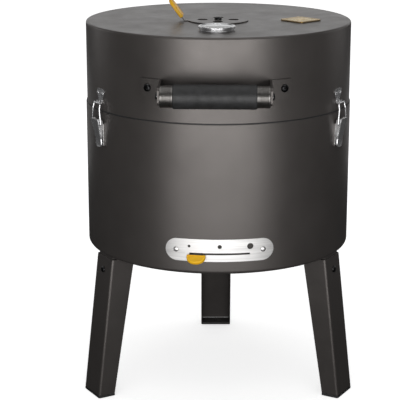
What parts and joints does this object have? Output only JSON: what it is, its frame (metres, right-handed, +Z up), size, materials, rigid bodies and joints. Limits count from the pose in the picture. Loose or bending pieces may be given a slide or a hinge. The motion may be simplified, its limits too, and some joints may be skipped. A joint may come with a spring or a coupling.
{
  "type": "upright barrel smoker",
  "caption": "Upright barrel smoker with hinged lid, two toggle latches, turning vent, sliding intake, grates and three splayed channel legs",
  "frame": {"origin": "middle of the footprint on the floor; the drum's axis is vertical, 21.8 mm behind the origin (+Y)", "axes": "+Z up, -Y towards the front with the handle and the air intake, +X to the right seen from the front"},
  "size_m": [0.4494, 0.5352, 0.6483],
  "materials": {
    "powder_coat": "satin warm dark grey powder coat with a fine metallic fleck",
    "stainless": "brushed stainless steel",
    "chrome": "polished plating",
    "black_oxide": "black plated screws",
    "black_grip": "matt black grip sleeve, fine texture",
    "black_plastic": "matt black moulded plastic",
    "yellow_silicone": "satin orange-yellow silicone",
    "gold": "brushed gold-coloured plate",
    "dial_white": "matt light dial face",
    "dial_red": "red enamel",
    "glass": "clear",
    "plain_steel": "turned and rolled steel"
  },
  "bodies": {
    "base": {"drum_shell": "powder_coat", "lid_seat_ring": "powder_coat", "grate_support_front_left": "plain_steel", "grate_support_front_right": "plain_steel", "grate_support_rear": "plain_steel", "intake_plate": "stainless", "intake_rivet_left": "stainless", "intake_rivet_right": "stainless", "leg_left": "powder_coat", "leg_right": "powder_coat", "leg_rear": "powder_coat", "leg_screw_left": "black_oxide", "leg_screw_right": "black_oxide", "leg_screw_rear": "black_oxide", "leg_bracket_left": "powder_coat", "leg_bracket_right": "powder_coat", "leg_bracket_rear": "powder_coat", "foot_pad_left": "black_plastic", "foot_pad_right": "black_plastic", "foot_pad_rear": "black_plastic", "hinge_leaf_drum": "powder_coat", "hinge_pin": "stainless", "latch_base_left": "stainless", "latch_base_right": "stainless", "latch_pin_left": "stainless", "latch_pin_right": "stainless"},
    "lid": {"lid_shell": "powder_coat", "hinge_leaf_lid": "powder_coat", "handle_bracket_left": "powder_coat", "handle_bracket_right": "powder_coat", "handle_bolt_left": "black_oxide", "handle_bolt_right": "black_oxide", "handle_end_screw_left": "black_oxide", "handle_end_screw_right": "black_oxide", "handle_bar": "plain_steel", "handle_grip": "black_grip", "latch_keeper_left": "chrome", "latch_keeper_right": "chrome", "thermometer_case": "chrome", "thermometer_dial": "dial_white", "thermometer_lens": "glass", "thermometer_stem": "stainless", "badge_plate": "gold", "vent_pivot_bolt": "black_oxide"},
    "vent": {"vent_disc": "powder_coat", "vent_grip": "yellow_silicone"},
    "needle": {"thermometer_needle": "dial_red"},
    "slider": {"intake_slider": "stainless", "intake_grip": "yellow_silicone"},
    "lever_left": {"latch_lever_left": "chrome"},
    "lever_right": {"latch_lever_right": "chrome"},
    "bail_left": {"latch_bail_left": "chrome"},
    "bail_right": {"latch_bail_right": "chrome"},
    "cooking_grate": {"cooking_grate": "chrome"},
    "charcoal_grate": {"charcoal_grate": "chrome"},
    "ash_tray": {"ash_tray": "plain_steel"}
  },
  "joints": [
    {"name": "lid_hinge", "type": "hinge", "parent": "base", "child": "lid", "pos_m": [0, 0.2503, 0.4796], "axis": [-1, 0, 0], "range_deg": [0, 95]},
    {"name": "vent_turn", "type": "hinge", "parent": "lid", "child": "vent", "pos_m": [-0.00077, -0.00219, 0.614], "axis": [0, 0, 1], "range_deg": [0, 45]},
    {"name": "needle_turn", "type": "hinge", "parent": "lid", "child": "needle", "pos_m": [-0.00429, -0.11113, 0.618], "axis": [0, 0, -1], "range_deg": [0, 270]},
    {"name": "intake_turn", "type": "hinge", "parent": "base", "child": "slider", "pos_m": [0, 0.0218, 0.2741], "axis": [0, 0, 1], "range_deg": [0, 18.9]},
    {"name": "latch_left", "type": "hinge", "parent": "base", "child": "lever_left", "pos_m": [-0.19582, -0.09263, 0.4665], "axis": [-0.5045, 0.8634, 0], "range_deg": [0, 110]},
    {"name": "bail_swing_left", "type": "hinge", "parent": "lever_left", "child": "bail_left", "pos_m": [-0.19642, -0.09298, 0.4603], "axis": [-0.5045, 0.8634, 0], "range_deg": [-132, 0]},
    {"name": "latch_right", "type": "hinge", "parent": "base", "child": "lever_right", "pos_m": [0.19642, -0.0916, 0.4665], "axis": [-0.5, -0.866, 0], "range_deg": [0, 110]},
    {"name": "bail_swing_right", "type": "hinge", "parent": "lever_right", "child": "bail_right", "pos_m": [0.19702, -0.09195, 0.4603], "axis": [-0.5, -0.866, 0], "range_deg": [-132, 0]},
    {"name": "cooking_grate_lift", "type": "slide", "parent": "base", "child": "cooking_grate", "axis": [0, 0, 1], "range_m": [0, 0.1]},
    {"name": "charcoal_grate_lift", "type": "slide", "parent": "base", "child": "charcoal_grate", "axis": [0, 0, 1], "range_m": [0, 0.09]},
    {"name": "ash_tray_lift", "type": "slide", "parent": "base", "child": "ash_tray", "axis": [0, 0, 1], "range_m": [0, 0.03]}
  ],
  "couplings": [
    {"joint": "bail_swing_left", "follows": "latch_left", "ratio": -1.2},
    {"joint": "bail_swing_right", "follows": "latch_right", "ratio": -1.2}
  ]
}
